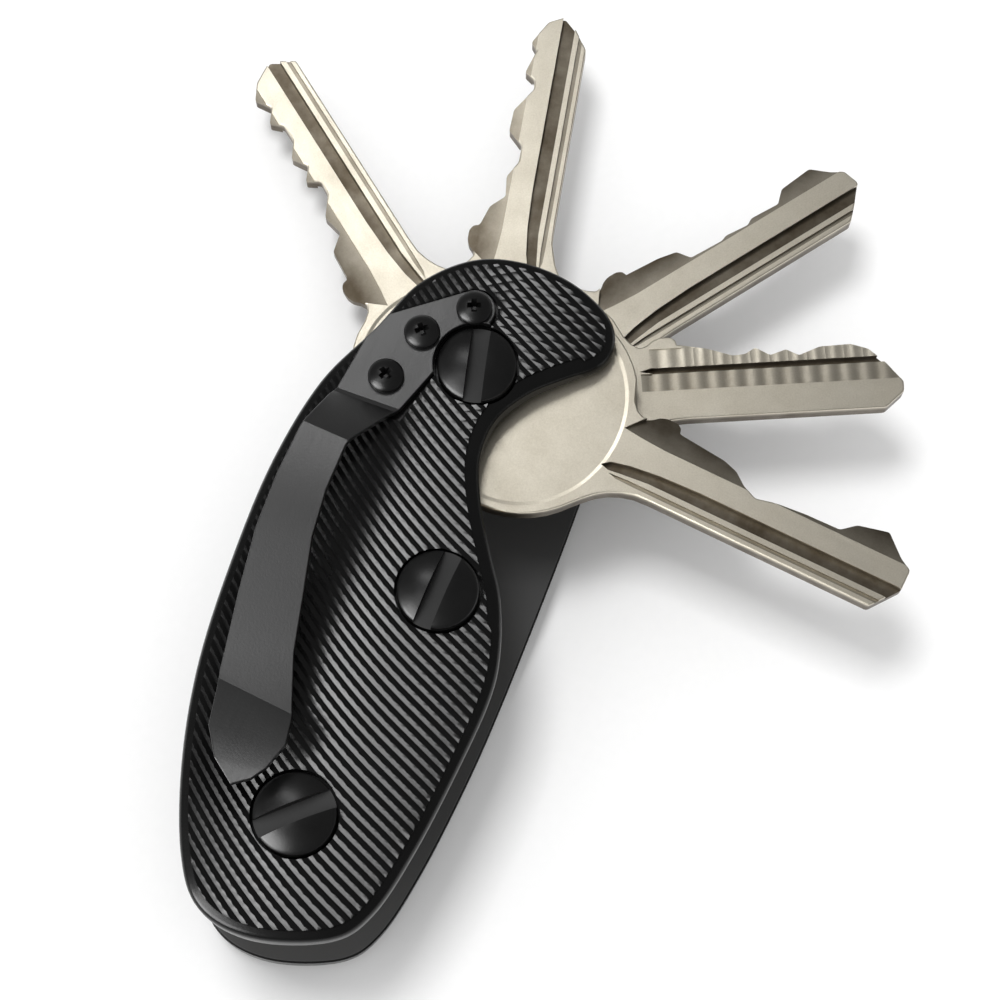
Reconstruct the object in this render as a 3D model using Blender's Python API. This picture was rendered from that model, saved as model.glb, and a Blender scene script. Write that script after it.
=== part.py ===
"""Key organiser: two crowned plates clamped on three posts, with five keys fanned out on one.

Sizes are in millimetres and are turned into metres as each object is made. The origin is on
the pivot axis, in the plane of the flat back heads that the organiser rests on. +Z points out
of the front plate, +Y runs towards the nose, and +X towards the side with the thumb notch.
"""

import math

import bmesh
import bpy
from mathutils import Matrix, Vector

MM = 0.001
CLEARANCE = 0.3
# Cutters run past the plates, from below the back one to above the front one.
BELOW = -4.0
ABOVE = 26.0

# Heights above the resting plane.
BACK_APEX = 0.4
BACK_INNER = 4.0
FRONT_INNER = 18.2
FRONT_APEX = 21.8
CROWN_RADIUS = 70.0
CROWN_CENTRE_X = -1.9

# Three posts, each a barrel nut from the back and a coin-slot screw from the front.
POSTS = {
    # name: (x, y, direction of the screw's slot in degrees from +X)
    "pivot": (0.0, 0.0, 103.0),
    "middle": (5.1, -25.1, 87.5),
    "end": (0.0, -52.2, 42.5),
}
BARREL_RADIUS = 2.3
BORE_RADIUS = 1.7
SHANK_RADIUS = 1.4
HEAD_RADIUS = 4.3
HEAD_CHAMFER = 0.3
COUNTERBORE_RADIUS = HEAD_RADIUS + CLEARANCE
HOLE_RADIUS = BARREL_RADIUS + CLEARANCE
BACK_HEAD_TOP = 1.6
BARREL_TOP = 19.6
BORE_FLOOR = 5.5
FRONT_HEAD_SEAT = 20.2
FRONT_HEAD_RIM = 21.9
FRONT_HEAD_TOP = 23.0
SLOT_WIDTH = 2.0
SLOT_FLOOR = 21.4
SLEEVE_RADIUS = 3.0

# Keys and the washers between them, from the back plate up.
KEY_THICKNESS = 2.0
WASHER_THICKNESS = 0.3
STACK_GAP = 0.2
WASHER_RADIUS = 5.0

# Clip foot, arm and screws.
FOOT_SEAT = 21.0
FOOT_BOTTOM = 21.25
SEAT_TAIL = 1.6
SHEET = 0.9
CLIP_HINGE_Y = -7.7
CLIP_SCREWS = ((-2.5, 5.8), (-6.8, 1.2), (-8.6, -4.9))
CLIP_HEAD_RADIUS = 1.9
CLIP_HEAD_HEIGHT = 1.1
CLIP_SHANK_RADIUS = 0.8
CLIP_HEAD_RIM = 0.5
CLIP_SHANK_TIP = 19.3
CLIP_HOLE_RADIUS = 1.15
CLIP_HOLE_FLOOR = 18.9
RECESS_LENGTH = 2.2
RECESS_WIDTH = 0.55
RECESS_DEPTH = 0.6

# Plate outline from the nose, over the top, down the straight-backed side and round the end.
OUTER_SIDE = (
    (11.4, 11.0), (6.5, 13.2), (0.5, 13.5), (-5.0, 11.8), (-9.6, 7.3), (-12.2, 0.8),
    (-15.6, -7.0), (-17.1, -17.0), (-17.0, -28.0), (-15.9, -40.0), (-13.4, -50.4),
    (-9.6, -59.6), (-5.6, -64.3), (0.5, -65.2), (7.8, -62.6), (10.9, -58.6), (12.6, -51.0),
    (13.7, -41.0),
)
NOTCH_SIDE = (
    (14.1, -33.5), (13.4, -28.6), (11.4, -23.2), (8.7, -19.0), (5.8, -14.2), (3.9, -9.4),
    (4.0, -4.8), (6.2, -0.7), (9.4, 2.6), (12.2, 5.2), (13.0, 8.0),
)
PLAIN_SIDE = ((14.2, -32.0), (14.4, -20.0), (14.4, -8.0), (14.1, 2.0), (13.4, 7.6))

# Key blank, in the key's own frame: the pivot hole at the origin and the blade along +X.
BOW_CENTRE_X = 6.4
BOW_HALF_LENGTH = 11.8
NECK_X = 17.6
NIB_START, NIB_END, NIB_Y = 20.2, 22.4, 5.6
BACK_Y = -4.2
NECK_HALF_WIDTH = 5.2
NECK_CUT_SIDE = (18.6, 4.7)
NECK_BACK = ((23.4, BACK_Y), (20.4, -4.7), (18.4, -5.9))
# The keys from the back plate up: (direction from +X in degrees, half width of the bow,
# sideways offset of the blade, cuts from the nib to the tip, then the tip).
KEYS = (
    (141.2, 11.3, 0.0,
     ((22.8, 4.4), (26.4, 4.2), (28.0, 2.3), (30.6, 2.9), (33.0, 1.2), (34.8, 1.1), (35.8, 2.6),
      (37.4, 1.4), (39.3, 2.6), (41.2, 1.3), (43.5, 1.3), (44.7, 2.6), (46.4, 1.4), (48.3, 2.6),
      (50.2, 1.3), (52.0, -1.4), (50.4, BACK_Y))),
    (100.9, 11.3, -0.8,
     ((22.8, 4.4), (25.0, 3.7), (26.4, 2.1), (29.0, 2.4), (30.9, 1.3), (33.1, 1.3), (35.0, 3.1),
      (37.8, 3.0), (40.6, 1.1), (41.9, 1.2), (42.9, 2.5), (45.9, 1.6), (47.0, 2.4), (49.9, 0.8),
      (50.9, -1.1), (49.4, -2.6), (46.9, BACK_Y))),
    (53.6, 11.3, -1.1,
     ((22.8, 4.6), (26.7, 4.3), (28.9, 3.8), (29.8, 2.2), (34.0, 2.0), (34.7, 2.3), (37.6, 2.0),
      (38.4, 2.5), (42.1, 2.3), (43.6, 3.7), (47.8, 4.1), (49.5, 2.3), (50.8, 1.4), (51.3, -0.6),
      (49.6, -2.4), (47.7, BACK_Y))),
    (24.0, 11.8, -0.8,
     ((22.8, 4.6), (25.8, 4.0), (28.6, 3.0), (30.0, 3.1), (31.2, 3.8), (32.8, 2.8), (34.6, 3.4),
      (36.0, 2.6), (38.4, 3.5), (41.9, 3.6), (43.8, 2.9), (45.6, 1.1), (47.3, -1.2), (47.2, -2.4),
      (45.0, BACK_Y))),
    (-6.4, 12.8, 0.0,
     ((22.8, 4.5), (28.2, 3.9), (29.9, 3.3), (31.3, 2.1), (33.0, 1.3), (35.5, 1.9), (38.7, 2.2),
      (42.6, 2.3), (44.1, 3.7), (47.5, 4.6), (49.8, 2.3), (51.2, 1.4), (51.2, -0.9),
      (48.8, BACK_Y))),
)

# Clip foot and arm, seen from above: (left x, left y, right x, right y, height of underside).
FOOT_CORNERS = ((-5.8, CLIP_HINGE_Y), (-13.1, CLIP_HINGE_Y), (-12.3, -1.4), (-10.9, 2.1))
FOOT_END_RADIUS = 2.3
SCALLOP_RADIUS = 4.75
ARM_STATIONS = (
    (-13.1, -8.0, -5.8, -8.0, 21.25),
    (-13.5, -9.4, -6.9, -9.4, 21.9),
    (-14.2, -12.6, -8.8, -13.2, 24.4),
    (-14.4, -14.4, -9.2, -14.8, 24.8),
    (-14.7, -20.0, -9.2, -20.0, 24.7),
    (-14.6, -26.2, -8.7, -25.2, 24.3),
    (-13.8, -33.0, -7.4, -31.0, 23.4),
    (-12.9, -39.0, -6.1, -37.0, 22.6),
    (-12.3, -43.2, -4.4, -40.8, 22.1),
    (-12.0, -44.6, -3.5, -42.8, 22.3),
    (-11.0, -47.4, -3.0, -46.0, 23.0),
    (-9.2, -50.2, -3.9, -48.8, 23.6),
    (-6.6, -52.2, -4.9, -51.0, 24.1),
)


def clear_scene():
    for obj in list(bpy.data.objects):
        bpy.data.objects.remove(obj, do_unlink=True)


def make_material(name, colour, roughness, metallic):
    made = bpy.data.materials.new(name)
    made.use_nodes = True
    shader = made.node_tree.nodes["Principled BSDF"]
    shader.inputs["Base Color"].default_value = (*colour, 1.0)
    shader.inputs["Roughness"].default_value = roughness
    shader.inputs["Metallic"].default_value = metallic
    return made


def add_object(name, bm, finish, origin=(0.0, 0.0, 0.0), turn=0.0):
    """Makes an object of a bmesh in mm whose origin is at `origin`, turned about +Z."""
    bmesh.ops.recalc_face_normals(bm, faces=bm.faces)
    bmesh.ops.transform(bm, matrix=Matrix.Scale(MM, 4), verts=bm.verts)
    mesh = bpy.data.meshes.new(name)
    bm.to_mesh(mesh)
    bm.free()
    mesh.shade_smooth()
    mesh.set_sharp_from_angle(angle=math.radians(30))
    obj = bpy.data.objects.new(name, mesh)
    obj.location = Vector(origin) * MM
    obj.rotation_euler.z = math.radians(turn)
    if finish:
        mesh.materials.append(finish)
    bpy.context.scene.collection.objects.link(obj)
    return obj


def add_cutter(name, bm):
    obj = add_object(name, bm, None)
    obj.hide_render = True
    obj.display_type = "WIRE"
    return obj


def cut(obj, cutter, operation="DIFFERENCE"):
    boolean = obj.modifiers.new(cutter.name, "BOOLEAN")
    boolean.operation = operation
    boolean.solver = "EXACT"
    boolean.object = cutter


def smooth_loop(points, steps):
    """A closed Catmull-Rom curve through the points."""
    corners = [Vector(point) for point in points]
    count = len(corners)
    loop = []
    for i in range(count):
        a, b, c, d = (corners[(i + k) % count] for k in (-1, 0, 1, 2))
        for step in range(steps):
            t = step / steps
            loop.append(
                0.5 * (2 * b + (c - a) * t + (2 * a - 5 * b + 4 * c - d) * t**2
                       + (3 * b - a - 3 * c + d) * t**3)
            )
    return loop


def arc(centre, radius, start, end, steps):
    """Points on an arc, from one direction to another in degrees."""
    angles = [math.radians(start + (end - start) * i / steps) for i in range(steps + 1)]
    return [Vector((centre[0] + radius * math.cos(a), centre[1] + radius * math.sin(a)))
            for a in angles]


def slab(outline, bottom, top):
    """An outline in the XY plane, extruded from one height to another."""
    bm = bmesh.new()
    face = bm.faces.new([bm.verts.new((x, y, bottom)) for x, y in outline])
    raised = bmesh.ops.extrude_face_region(bm, geom=[face])["geom"]
    bmesh.ops.translate(
        bm, vec=(0, 0, top - bottom),
        verts=[item for item in raised if isinstance(item, bmesh.types.BMVert)],
    )
    return bm


def turned(profile, centre=(0.0, 0.0), segments=32):
    """A profile of (radius, height) points, spun about a vertical axis."""
    bm = bmesh.new()
    line = [bm.verts.new((radius, 0, height)) for radius, height in profile]
    edges = [bm.edges.new(pair) for pair in zip(line, line[1:] + line[:1])]
    bmesh.ops.spin(
        bm, geom=line + edges, cent=(0, 0, 0), axis=(0, 0, 1), angle=2 * math.pi,
        steps=segments, use_merge=True,
    )
    bmesh.ops.remove_doubles(bm, verts=bm.verts, dist=1e-4)
    bmesh.ops.dissolve_degenerate(bm, dist=1e-4, edges=bm.edges)
    on_axis = [edge for edge in bm.edges if not edge.link_faces]
    bmesh.ops.delete(bm, geom=on_axis, context="EDGES")
    bmesh.ops.translate(bm, vec=(*centre, 0), verts=bm.verts)
    return bm


def disc(radius, bottom, top, centre, segments=32):
    profile = ((0, bottom), (radius, bottom), (radius, top), (0, top))
    return turned(profile, centre, segments)


def ring(inner, outer, bottom, top, centre=(0.0, 0.0), segments=24):
    profile = ((inner, bottom), (outer, bottom), (outer, top), (inner, top))
    return turned(profile, centre, segments)


def bar(length, width, bottom, top, centre, direction):
    """An upright box of the given length along a direction in degrees."""
    bm = bmesh.new()
    bmesh.ops.create_cube(bm, size=1.0)
    bmesh.ops.scale(bm, vec=(length, width, top - bottom), verts=bm.verts)
    bmesh.ops.rotate(bm, matrix=Matrix.Rotation(math.radians(direction), 3, "Z"), verts=bm.verts)
    bmesh.ops.translate(bm, vec=(*centre, (bottom + top) / 2), verts=bm.verts)
    return bm


def crown(base, apex):
    """A block with one cylindrical side, its axis along Y, which a plate is cut to."""
    half_width = 24.0
    depth = 5.0
    nose_end, far_end = 40.0, -100.0
    strips = 24
    rise = 1.0 if apex > base else -1.0
    section = []
    for i in range(strips + 1):
        x = -half_width + 2 * half_width * i / strips
        section.append((x + CROWN_CENTRE_X, apex - rise * x * x / (2 * CROWN_RADIUS)))
    section += [(half_width + CROWN_CENTRE_X, base - depth * rise)]
    section += [(-half_width + CROWN_CENTRE_X, base - depth * rise)]
    bm = bmesh.new()
    face = bm.faces.new([bm.verts.new((x, nose_end, z)) for x, z in section])
    swept = bmesh.ops.extrude_face_region(bm, geom=[face])["geom"]
    bmesh.ops.translate(
        bm, vec=(0, far_end - nose_end, 0),
        verts=[item for item in swept if isinstance(item, bmesh.types.BMVert)],
    )
    return bm


def foot_outline(grown=0.0, tail=0.0):
    """The clip's foot: straight sides, a round end on the first screw, and a scallop.

    The milled seat under it is the same shape, grown all round and with a longer tail.
    """
    end_x, end_y = CLIP_SCREWS[0]
    right, left, side, shoulder = (Vector(corner) for corner in FOOT_CORNERS)
    start = [right + Vector((grown, -grown - tail)), left - Vector((grown, grown + tail)),
             side + Vector((-grown, 0)), shoulder + Vector((-grown, grown)) * 0.7]
    end = arc((end_x, end_y), FOOT_END_RADIUS + grown, 118, -22, 8)
    scallop = arc((0, 0), SCALLOP_RADIUS - grown, 92, 212, 12)
    return start + end + scallop


def make_plates(metal):
    front_counterbore = (FRONT_HEAD_SEAT - CLEARANCE, ABOVE)
    back_counterbore = (BELOW, BACK_HEAD_TOP + CLEARANCE)
    plates = (
        ("front_plate", NOTCH_SIDE, FRONT_INNER, FRONT_APEX, front_counterbore),
        ("back_plate", PLAIN_SIDE, BACK_INNER, BACK_APEX, back_counterbore),
    )
    for name, side, inner, apex, counterbore in plates:
        outline = smooth_loop(OUTER_SIDE + side, 4)
        plate = add_object(name, slab(outline, min(inner, apex), max(inner, apex)), metal)
        cut(plate, add_cutter(f"{name}_crown", crown(inner, apex)), "INTERSECT")
        for post, (x, y, _) in POSTS.items():
            hole = disc(HOLE_RADIUS, BELOW, ABOVE, (x, y))
            cut(plate, add_cutter(f"{name}_{post}_hole", hole))
            bore = disc(COUNTERBORE_RADIUS, *counterbore, (x, y))
            cut(plate, add_cutter(f"{name}_{post}_counterbore", bore))
        if name == "front_plate":
            seat = slab(foot_outline(CLEARANCE, SEAT_TAIL), FOOT_SEAT, ABOVE)
            cut(plate, add_cutter("foot_seat", seat))
            for number, centre in enumerate(CLIP_SCREWS, 1):
                pilot = disc(CLIP_HOLE_RADIUS, CLIP_HOLE_FLOOR, ABOVE, centre, 16)
                cut(plate, add_cutter(f"clip_hole_{number}", pilot))


def dome(radius, rim, top, steps):
    """The (radius, height) points of a domed head, from its rim to its centre."""
    height = top - rim
    ball = (radius**2 + height**2) / (2 * height)
    points = []
    for i in range(steps + 1):
        r = radius * (1 - i / steps)
        points.append((r, top - ball + math.sqrt(ball**2 - r**2)))
    return points


def make_posts(steel, brass):
    for name, (x, y, slot) in POSTS.items():
        barrel = (
            (0, 0), (HEAD_RADIUS - HEAD_CHAMFER, 0), (HEAD_RADIUS, HEAD_CHAMFER),
            (HEAD_RADIUS, BACK_HEAD_TOP), (BARREL_RADIUS, BACK_HEAD_TOP),
            (BARREL_RADIUS, BARREL_TOP), (BORE_RADIUS, BARREL_TOP), (BORE_RADIUS, BORE_FLOOR),
            (0, BORE_FLOOR),
        )
        add_object(f"{name}_post", turned(barrel, (x, y)), steel)
        shank_tip = BORE_FLOOR + CLEARANCE
        profile = [(0, shank_tip), (SHANK_RADIUS, shank_tip), (SHANK_RADIUS, FRONT_HEAD_SEAT),
                   (HEAD_RADIUS, FRONT_HEAD_SEAT)]
        profile += dome(HEAD_RADIUS, FRONT_HEAD_RIM, FRONT_HEAD_TOP, 5)
        screw = add_object(f"{name}_screw", turned(profile, (x, y)), steel)
        slot_tool = bar(4 * HEAD_RADIUS, SLOT_WIDTH, SLOT_FLOOR, ABOVE, (x, y), slot)
        cut(screw, add_cutter(f"{name}_slot", slot_tool))
    for name in ("middle", "end"):
        x, y, _ = POSTS[name]
        tube = ring(HOLE_RADIUS, SLEEVE_RADIUS, BACK_INNER + CLEARANCE, FRONT_INNER - CLEARANCE,
                    (x, y), 32)
        add_object(f"{name}_sleeve", tube, brass)


def key_outline(bow_half_width, offset, cuts):
    """The outline of a cut key: an oval bow, a neck, a stop nib, the cuts and the tip."""
    steps = 36
    edge = math.acos((NECK_X - BOW_CENTRE_X) / BOW_HALF_LENGTH)
    bow = []
    for i in range(steps + 1):
        a = 2 * math.pi - edge - 2 * (math.pi - edge) * i / steps
        bow.append((BOW_CENTRE_X + BOW_HALF_LENGTH * math.cos(a), bow_half_width * math.sin(a)))
    bow = [(x, y) for x, y in bow if x < NECK_X - 1 or abs(y) > NECK_HALF_WIDTH]
    blade = [NECK_CUT_SIDE, (NIB_START, NIB_Y), (NIB_END, NIB_Y), (NIB_END + 0.1, cuts[0][1])]
    blade += [*cuts, *NECK_BACK]
    return bow + [(x, y + offset) for x, y in blade]


def make_keys(nickel_silver, steel):
    step = WASHER_THICKNESS + KEY_THICKNESS + 2 * STACK_GAP
    for number in range(len(KEYS) + 1):
        bottom = BACK_INNER + STACK_GAP + number * step
        washer = ring(HOLE_RADIUS, WASHER_RADIUS, bottom, bottom + WASHER_THICKNESS)
        add_object(f"washer_{number + 1}", washer, steel)
    for number, (direction, bow_half_width, offset, cuts) in enumerate(KEYS):
        bottom = BACK_INNER + number * step + WASHER_THICKNESS + 2 * STACK_GAP
        outline = key_outline(bow_half_width, offset, cuts)
        blank = slab(outline, 0, KEY_THICKNESS)
        key = add_object(f"key_{number + 1}", blank, nickel_silver, (0, 0, bottom), direction)
        hole = disc(HOLE_RADIUS, bottom - 1, bottom + KEY_THICKNESS + 1, (0, 0))
        cut(key, add_cutter(f"key_{number + 1}_hole", hole))


def make_clip(black_steel):
    sheet = slab(foot_outline(), FOOT_BOTTOM, FOOT_BOTTOM + SHEET)
    foot = add_object("clip_foot", sheet, black_steel)
    hinge = Vector((-9.5, CLIP_HINGE_Y, FOOT_BOTTOM + SHEET / 2))
    bm = bmesh.new()
    rungs = []
    for left_x, left_y, right_x, right_y, height in ARM_STATIONS:
        ends = (Vector((left_x, left_y, height)), Vector((right_x, right_y, height)))
        rungs.append([bm.verts.new(end - hinge) for end in ends])
    for (a, b), (c, d) in zip(rungs, rungs[1:]):
        bm.faces.new((a, c, d, b))
    bmesh.ops.recalc_face_normals(bm, faces=bm.faces)
    raised = bmesh.ops.extrude_face_region(bm, geom=bm.faces[:])["geom"]
    bmesh.ops.translate(
        bm, vec=(0, 0, SHEET),
        verts=[item for item in raised if isinstance(item, bmesh.types.BMVert)],
    )
    add_object("clip_arm", bm, black_steel, hinge)
    head_bottom = FOOT_BOTTOM + SHEET + CLEARANCE / 2
    for number, (x, y) in enumerate(CLIP_SCREWS, 1):
        hole = disc(CLIP_HOLE_RADIUS, BELOW, ABOVE, (x, y), 20)
        cut(foot, add_cutter(f"foot_hole_{number}", hole))
        profile = [(0, CLIP_SHANK_TIP), (CLIP_SHANK_RADIUS, CLIP_SHANK_TIP),
                   (CLIP_SHANK_RADIUS, head_bottom), (CLIP_HEAD_RADIUS, head_bottom)]
        top = head_bottom + CLIP_HEAD_HEIGHT
        profile += dome(CLIP_HEAD_RADIUS, head_bottom + CLIP_HEAD_RIM, top, 3)
        screw = add_object(f"clip_screw_{number}", turned(profile, (x, y), 24), black_steel)
        for turn in (20 * number, 20 * number + 90):
            slot = bar(RECESS_LENGTH, RECESS_WIDTH, top - RECESS_DEPTH, ABOVE, (x, y), turn)
            cut(screw, add_cutter(f"clip_recess_{number}_{turn}", slot))


def main():
    clear_scene()
    anodised = make_material("black_anodised", (0.02, 0.02, 0.022), 0.42, 0.6)
    black_steel = make_material("black_oxide", (0.035, 0.035, 0.037), 0.35, 0.8)
    steel = make_material("bright_steel", (0.55, 0.55, 0.55), 0.35, 1.0)
    brass = make_material("brass", (0.62, 0.47, 0.22), 0.35, 1.0)
    nickel_silver = make_material("nickel_silver", (0.63, 0.58, 0.49), 0.35, 1.0)
    make_plates(anodised)
    make_posts(black_steel, brass)
    make_keys(nickel_silver, steel)
    make_clip(black_steel)


main()
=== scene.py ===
"""The key organiser as it lies on a table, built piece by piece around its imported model."""

import math

import bmesh
import bpy
from mathutils import Matrix, Vector


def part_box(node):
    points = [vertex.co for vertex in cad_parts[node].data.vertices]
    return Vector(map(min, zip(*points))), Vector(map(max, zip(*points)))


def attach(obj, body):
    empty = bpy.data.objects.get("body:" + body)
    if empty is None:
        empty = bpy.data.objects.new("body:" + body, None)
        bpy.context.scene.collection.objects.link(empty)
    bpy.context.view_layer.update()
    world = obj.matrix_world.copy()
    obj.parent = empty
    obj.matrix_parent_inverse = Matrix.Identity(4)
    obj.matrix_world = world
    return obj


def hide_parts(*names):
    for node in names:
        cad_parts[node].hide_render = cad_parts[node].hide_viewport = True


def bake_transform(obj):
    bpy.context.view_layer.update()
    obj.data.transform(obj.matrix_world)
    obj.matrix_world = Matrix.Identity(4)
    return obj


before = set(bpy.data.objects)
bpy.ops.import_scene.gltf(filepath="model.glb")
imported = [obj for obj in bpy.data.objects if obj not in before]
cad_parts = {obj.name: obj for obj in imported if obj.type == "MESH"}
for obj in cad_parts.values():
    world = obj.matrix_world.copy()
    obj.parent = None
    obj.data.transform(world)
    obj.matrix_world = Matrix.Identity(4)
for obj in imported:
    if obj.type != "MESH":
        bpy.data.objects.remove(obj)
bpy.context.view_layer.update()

# ---- Table, lights and camera ------------------------------------------------------------
# A sheet of pale paper in a white room. A soft lamp from the upper left throws the shadows, and
# two windows, a curtain and a card are what the metal mirrors. The sizes here are in metres.


class Wire:
    """One output of a node. Sums on it add Math nodes, and node() adds any other node."""

    def __init__(self, tree, socket):
        self.tree = tree
        self.socket = socket

    def node(self, kind, settings, inputs, output=0):
        made = self.tree.nodes.new("ShaderNode" + kind)
        for name, value in settings.items():
            if name == "stops":
                ramp = made.color_ramp
                while len(ramp.elements) < len(value):
                    ramp.elements.new(0.5)
                for element, (place, shade) in zip(ramp.elements, value):
                    element.position = place
                    element.color = (shade, shade, shade, 1.0)
            else:
                setattr(made, name, value)
        for name, value in inputs.items():
            if isinstance(value, Wire):
                self.tree.links.new(value.socket, made.inputs[name])
            else:
                made.inputs[name].default_value = value
        return Wire(self.tree, made.outputs[output])

    def math(self, operation, first, second):
        return self.node("Math", {"operation": operation}, {0: first, 1: second})

    def __add__(self, other):
        return self.math("ADD", self, other)

    __radd__ = __add__

    def __mul__(self, other):
        return self.math("MULTIPLY", self, other)

    __rmul__ = __mul__

    def __sub__(self, other):
        return self.math("SUBTRACT", self, other)

    def __rsub__(self, other):
        return self.math("SUBTRACT", other, self)

    def ramp(self, *stops):
        return self.node("ValToRGB", {"stops": stops}, {"Fac": self})

    def blend_of(self, low, high):
        """The colour `low` where this value is 0 and `high` where it is 1."""
        low, high = (c if isinstance(c, Wire) else (*c, 1.0) for c in (low, high))
        return self.node("Mix", {"data_type": "RGBA"}, {0: self, 6: low, 7: high}, 2)


def new_finish(name, **constants):
    """A material with a Principled shader, and the wire of its object coordinates."""
    made = bpy.data.materials.new(name)
    made.use_nodes = True
    tree = made.node_tree
    shader = tree.nodes["Principled BSDF"]
    for socket, value in constants.items():
        shader.inputs[socket.replace("_", " ")].default_value = value
    coordinates = tree.nodes.new("ShaderNodeTexCoord")
    return made, Wire(tree, coordinates.outputs["Object"])


def drive(material, **wires):
    """Links wires to the sockets of a material's shader."""
    shader = material.node_tree.nodes["Principled BSDF"]
    for socket, wire in wires.items():
        material.node_tree.links.new(wire.socket, shader.inputs[socket.replace("_", " ")])


def noise(position, scale, detail=3.0, roughness=0.5):
    inputs = {"Vector": position, "Scale": scale, "Detail": detail, "Roughness": roughness}
    return position.node("TexNoise", {}, inputs)


def bump(height, distance, strength=1.0):
    inputs = {"Height": height, "Distance": distance, "Strength": strength}
    return height.node("Bump", {}, inputs)


TABLE_HALF_WIDTH = 2.0
paper, place = new_finish("pale_paper", Roughness=0.9)
paper_fibre = noise(place, 900.0)
drive(paper, Base_Color=paper_fibre.blend_of((0.93, 0.93, 0.93), (0.96, 0.96, 0.96)),
      Normal=bump(paper_fibre, 0.00002))
table = bpy.data.meshes.new("table")
bm = bmesh.new()
bmesh.ops.create_grid(bm, x_segments=1, y_segments=1, size=TABLE_HALF_WIDTH)
bm.to_mesh(table)
bm.free()
table.materials.append(paper)
floor = bpy.data.objects.new("table", table)
bpy.context.scene.collection.objects.link(floor)

CAMERA_AT = Vector((0.0346, -0.0852, 0.2503))
AIM = Vector((0.0073, -0.0124, 0.0180))
PICTURE_UP = Vector((-0.3506, 0.9365, 0.0))


def facing(place, target, up):
    """The matrix of a camera or lamp at a place, looking at a target."""
    back = (place - target).normalized()
    right = up.cross(back).normalized()
    turn = Matrix((right, back.cross(right), back)).transposed().to_4x4()
    return Matrix.Translation(place) @ turn


lens = bpy.data.cameras.new("camera")
lens.lens = 82.0
lens.sensor_width = 36.0
lens.clip_start = 0.01
camera = bpy.data.objects.new("camera", lens)
camera.matrix_world = facing(CAMERA_AT, AIM, PICTURE_UP)
bpy.context.scene.collection.objects.link(camera)
bpy.context.scene.camera = camera

MIDDLE = Vector((0.0, -0.01, 0.02))
UPRIGHT = Vector((0.0, 0.0, 1.0))
NOSEWARDS = Vector((0.0, 1.0, 0.0))
# The shine lamps are what the metal mirrors, and the paper lamp throws the shadows.
LAMPS = (
    # name, offset from the middle, upward direction, width, height, watts, shine lamp
    ("overhead_window", Vector((-0.36, 0.37, 0.86)), NOSEWARDS, 0.40, 0.21, 1.6, True),
    ("ceiling_card", Vector((-0.32, -0.14, 0.94)), NOSEWARDS, 0.40, 0.25, 0.9, True),
    ("side_window", Vector((-0.387, -0.598, 0.556)), UPRIGHT, 0.62, 0.52, 12.5, True),
    ("side_curtain", Vector((-0.58, -0.58, 0.38)), UPRIGHT, 0.36, 0.36, 3.5, True),
    ("paper_lamp", Vector((-0.245, 0.11, 0.96)), NOSEWARDS, 0.30, 0.30, 4.9, False),
)
for name, offset, lamp_up, width, height, watts, for_shine in LAMPS:
    lamp = bpy.data.lights.new(name, "AREA")
    lamp.shape = "RECTANGLE"
    lamp.size = width
    lamp.size_y = height
    lamp.energy = watts
    holder = bpy.data.objects.new(name, lamp)
    holder.matrix_world = facing(MIDDLE + offset, MIDDLE, lamp_up)
    holder.visible_glossy = for_shine
    holder.visible_diffuse = not for_shine
    bpy.context.scene.collection.objects.link(holder)

world = bpy.data.worlds.new("white_room")
world.use_nodes = True
background = world.node_tree.nodes["Background"]
background.inputs["Color"].default_value = (1.0, 1.0, 1.0, 1.0)
rays = world.node_tree.nodes.new("ShaderNodeLightPath")
# The paper is lit by bright walls, and the metal mirrors dim ones.
WALLS, WALLS_IN_METAL = 0.75, 0.2
strength = WALLS - Wire(world.node_tree, rays.outputs["Is Glossy Ray"]) * (WALLS - WALLS_IN_METAL)
world.node_tree.links.new(strength.socket, background.inputs["Strength"])
bpy.context.scene.world = world
bpy.context.scene.view_settings.view_transform = "Standard"

# ---- Barrel nuts -------------------------------------------------------------------------
# Three turned steel posts with wide flat heads, blackened and threaded down the middle. They
# are pushed through the back plate, and the organiser lies on their heads.

MM = 0.001
POSTS = {}
for name in ("pivot", "middle", "end"):
    low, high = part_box(f"{name}_post")
    POSTS[name] = ((low + high) / 2 / MM).to_2d()
HEAD_RADIUS = 4.3
BARREL_RADIUS = 2.3
CLEARANCE = 0.3
POST_HOLE_RADIUS = BARREL_RADIUS + CLEARANCE


def spun(profile, centre=(0.0, 0.0), steps=64):
    """Turns a closed profile of (radius, height) points about an upright axis, in mm."""
    bm = bmesh.new()
    line = [bm.verts.new((radius, 0.0, height)) for radius, height in profile]
    edges = [bm.edges.new(pair) for pair in zip(line, line[1:] + line[:1])]
    bmesh.ops.spin(bm, geom=line + edges, cent=(0, 0, 0), axis=(0, 0, 1),
                   angle=math.tau, steps=steps, use_merge=True)
    bmesh.ops.remove_doubles(bm, verts=bm.verts, dist=1e-4)
    bmesh.ops.dissolve_degenerate(bm, dist=1e-4, edges=bm.edges)
    on_axis = [edge for edge in bm.edges if not edge.link_faces]
    bmesh.ops.delete(bm, geom=on_axis, context="EDGES")
    bmesh.ops.translate(bm, vec=(*centre, 0.0), verts=bm.verts)
    return bm


def rounded(profile, radius, steps=3):
    """The same closed profile with each sharp corner turned to a small arc."""
    points = [Vector(point) for point in profile]
    made = []
    for i, corner in enumerate(points):
        before = points[i - 1] - corner
        after = points[(i + 1) % len(points)] - corner
        reach = min(radius, 0.4 * before.length, 0.4 * after.length)
        if corner.x == 0.0:
            made.append(corner)
            continue
        start = corner + before.normalized() * reach
        end = corner + after.normalized() * reach
        for step in range(steps + 1):
            t = step / steps
            made.append((1 - t) ** 2 * start + 2 * t * (1 - t) * corner + t * t * end)
    return [tuple(point) for point in made]


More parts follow.
